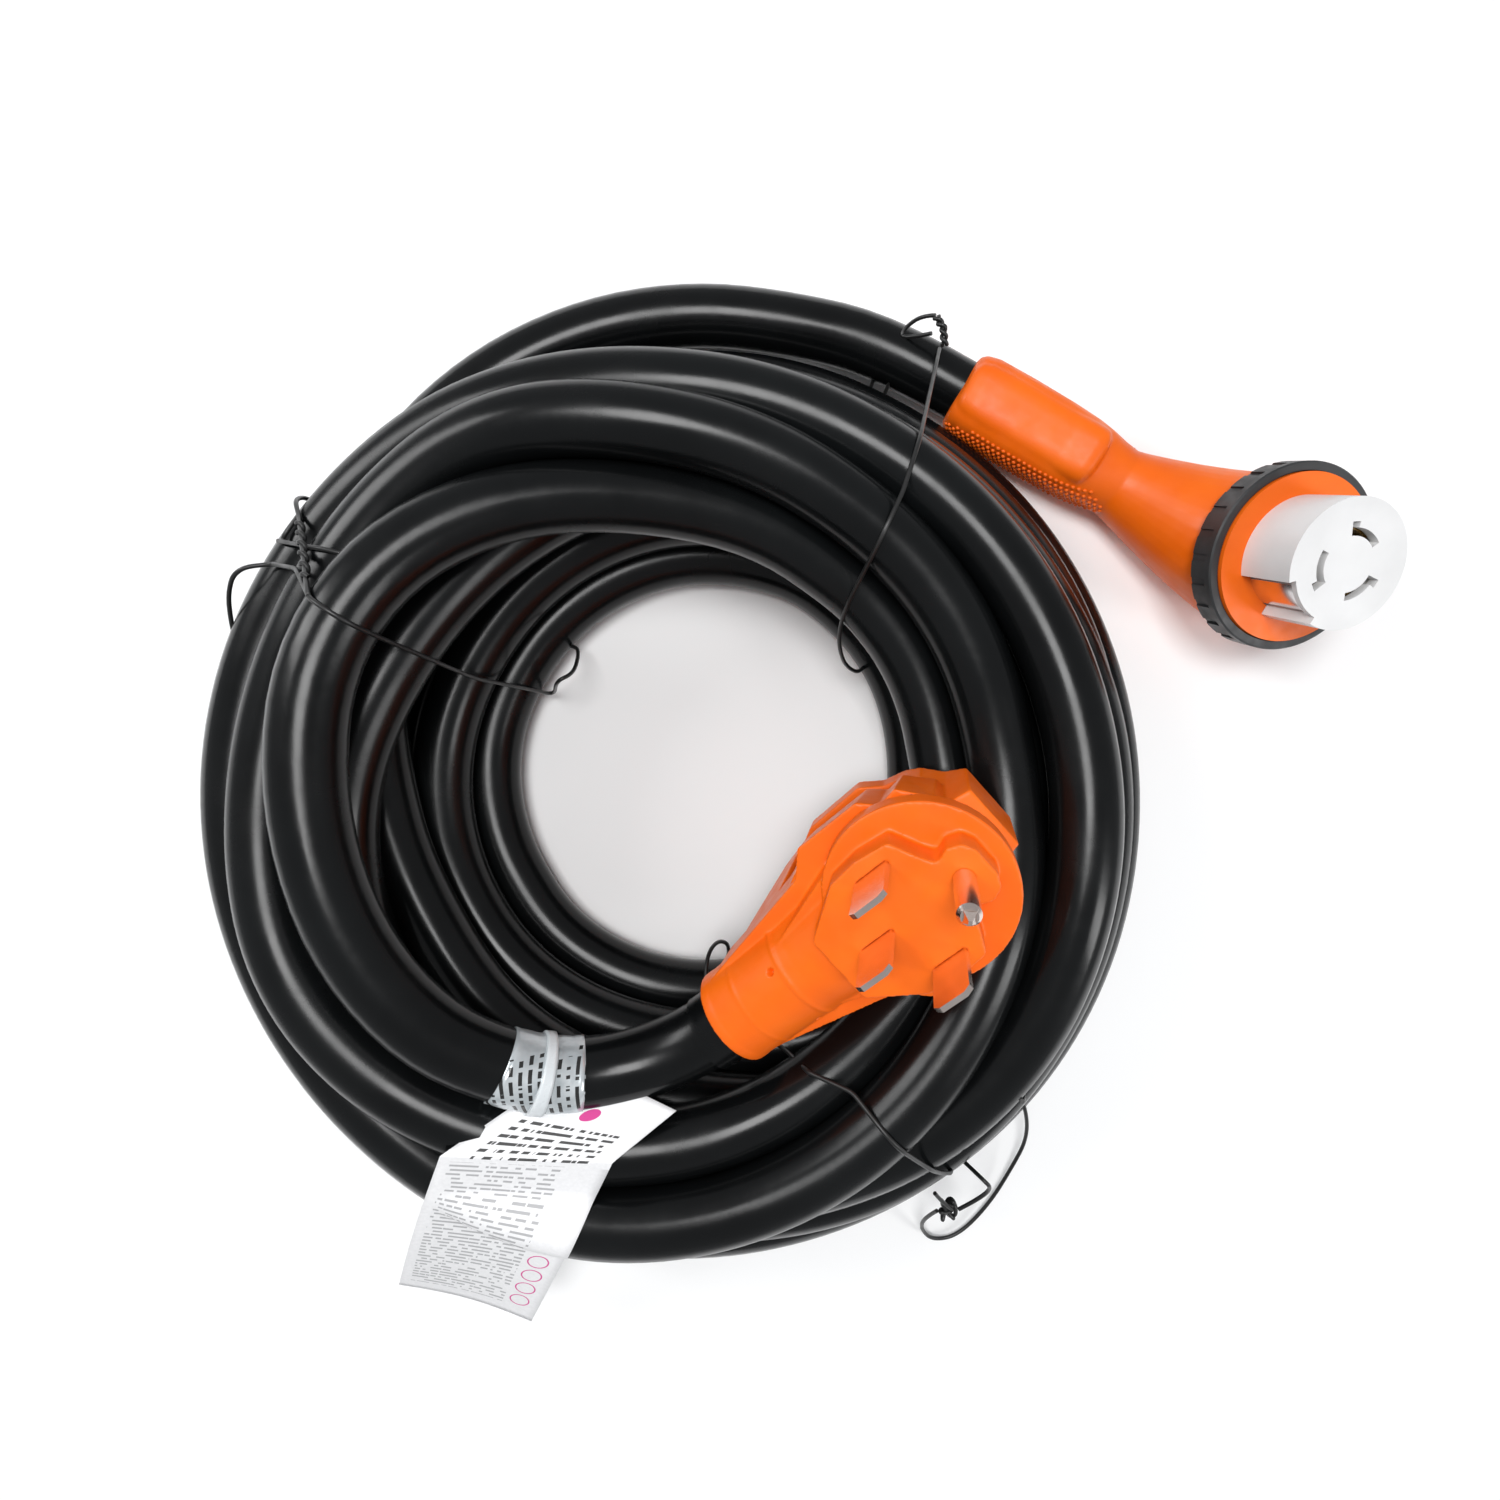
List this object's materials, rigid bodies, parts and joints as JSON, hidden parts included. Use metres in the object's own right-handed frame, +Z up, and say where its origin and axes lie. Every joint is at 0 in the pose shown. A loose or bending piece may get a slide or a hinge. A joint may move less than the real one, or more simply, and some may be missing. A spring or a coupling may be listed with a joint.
{
  "type": "shore power cord",
  "caption": "Coiled heavy-duty shore power cord with a right-angle pull-handle plug and an angled twist-lock connector.",
  "frame": {"origin": "on the floor under the middle of the plug, connector, tag and ties taken together", "axes": "+Z up, +X from the coil towards the connector's head, +Y towards the free arc"},
  "size_m": [0.4902, 0.4448, 0.1681],
  "materials": {
    "cable_jacket": "satin black vinyl jacket",
    "orange_vinyl": "satin moulded orange vinyl",
    "ring_nylon": "charcoal moulded nylon, worn lighter on its front rim",
    "washer_rubber": "matte black rubber",
    "white_nylon": "smooth white moulded nylon",
    "core_phenolic": "dark moulded core",
    "blade_nickel": "bright nickel plate",
    "ground_strip": "bright nickel plate",
    "contact_brass": "bright brass",
    "core_black": "black insulation",
    "core_red": "red insulation",
    "core_white": "white insulation",
    "core_green": "green insulation",
    "label_foil": null,
    "tag_paper": null,
    "tie_nylon": "clear nylon",
    "twist_wire": "black coated wire"
  },
  "bodies": {
    "root": {"cable_coil": "cable_jacket", "cable_free_arc": "cable_jacket", "cable_top_turn": "cable_jacket", "connector_cable_end": "cable_jacket", "connector_collar": "orange_vinyl", "connector_contact_line_1": "contact_brass", "connector_contact_line_2": "contact_brass", "connector_contact_neutral": "contact_brass", "connector_ground_contact": "ground_strip", "connector_housing": "orange_vinyl", "connector_insert": "white_nylon", "connector_terminal_block": "core_phenolic", "connector_wire_black": "core_black", "connector_wire_green": "core_green", "connector_wire_red": "core_red", "connector_wire_white": "core_white", "label_tie": "tie_nylon", "paper_tag": "tag_paper", "plug_blade_line_1": "blade_nickel", "plug_blade_line_2": "blade_nickel", "plug_blade_neutral": "blade_nickel", "plug_body": "orange_vinyl", "plug_cable_end": "cable_jacket", "plug_cable_sleeve": "cable_jacket", "plug_core": "core_phenolic", "plug_crimps": "contact_brass", "plug_ground_pin": "blade_nickel", "plug_wire_black": "core_black", "plug_wire_green": "core_green", "plug_wire_red": "core_red", "plug_wire_white": "core_white", "rating_label": "label_foil", "twist_tie_bottom": "twist_wire", "twist_tie_left": "twist_wire", "twist_tie_right": "twist_wire"},
    "ring_carrier": {"ring_washer": "washer_rubber"},
    "ring": {"locking_ring": "ring_nylon"}
  },
  "joints": [
    {"name": "ring_slide", "type": "slide", "parent": "root", "child": "ring_carrier", "axis": [0.1729, -0.3079, 0.9356], "range_m": [0, 0.003]},
    {"name": "ring_spin", "type": "hinge", "parent": "ring_carrier", "child": "ring", "pos_m": [0.19886, 0.11006, 0.04565], "axis": [0.1729, -0.3079, 0.9356], "continuous": true}
  ]
}
